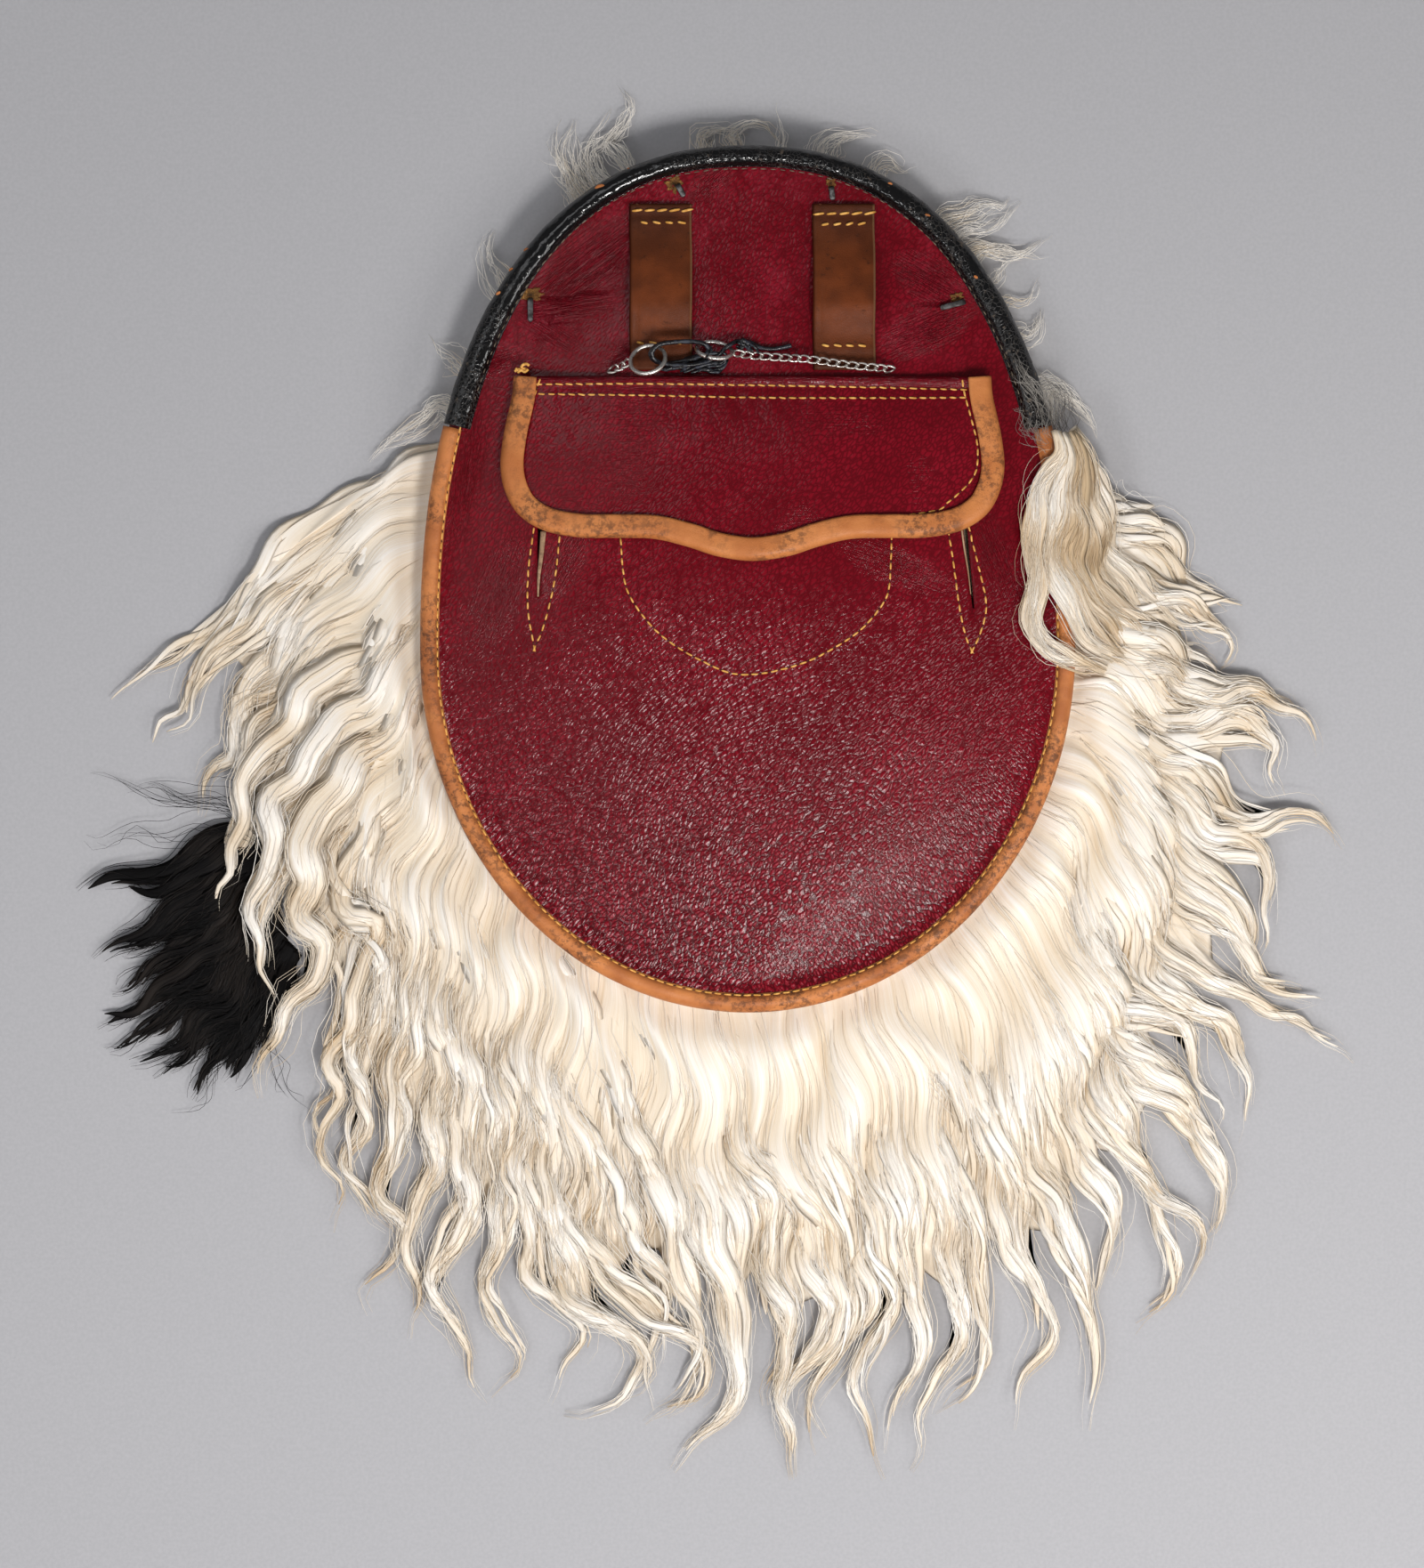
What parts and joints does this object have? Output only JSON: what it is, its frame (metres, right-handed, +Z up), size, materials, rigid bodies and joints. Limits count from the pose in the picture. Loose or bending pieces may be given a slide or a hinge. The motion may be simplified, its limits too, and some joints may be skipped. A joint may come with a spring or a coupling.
{
  "type": "sporran pouch",
  "caption": "Back of a Highland hair sporran lying face down: crimson leather pouch with bound flap, belt loops, rings, chain, thong, long white hair and black tassel",
  "frame": {"origin": "the middle of the object's floor plan, at the height of the surface that it lies on", "axes": "+Z up out of the leather back that faces the viewer, +Y towards the black rim and the belt loops, +X to the right as the picture shows it"},
  "size_m": [0.4312, 0.4528, 0.0359],
  "materials": {
    "crimson_leather": "crimson pebble-grained leather with a soft sheen and fine wrinkles",
    "hide": "plain raw hide",
    "patent_leather": "cracked black patent leather, glossy where it is whole",
    "tan_leather": "orange tan leather with dark rub marks",
    "brown_leather": "dark brown strap leather, polished lighter in the middle",
    "pin_metal": "dull grey metal",
    "steel": "worn plated steel",
    "thong_leather": "black leather lace",
    "white_hair": "long wavy cream-white hair with a silky sheen",
    "black_hair": "black hair"
  },
  "bodies": {
    "root": {"back_panel": "crimson_leather", "front_panel": "hide", "cantle_rim": "patent_leather", "body_binding": "tan_leather", "pocket_flap": "crimson_leather", "flap_binding": "tan_leather", "belt_loop_left": "brown_leather", "belt_loop_right": "brown_leather", "cantle_pin_1": "pin_metal", "cantle_pin_2": "pin_metal", "cantle_pin_3": "pin_metal", "cantle_pin_4": "pin_metal", "ring_left": "steel", "ring_right": "steel", "chain": "steel", "chain_stub": "steel", "thong": "thong_leather", "white_hair": "white_hair", "edge_lock": "white_hair", "black_tassel": "black_hair"}
  },
  "joints": []
}
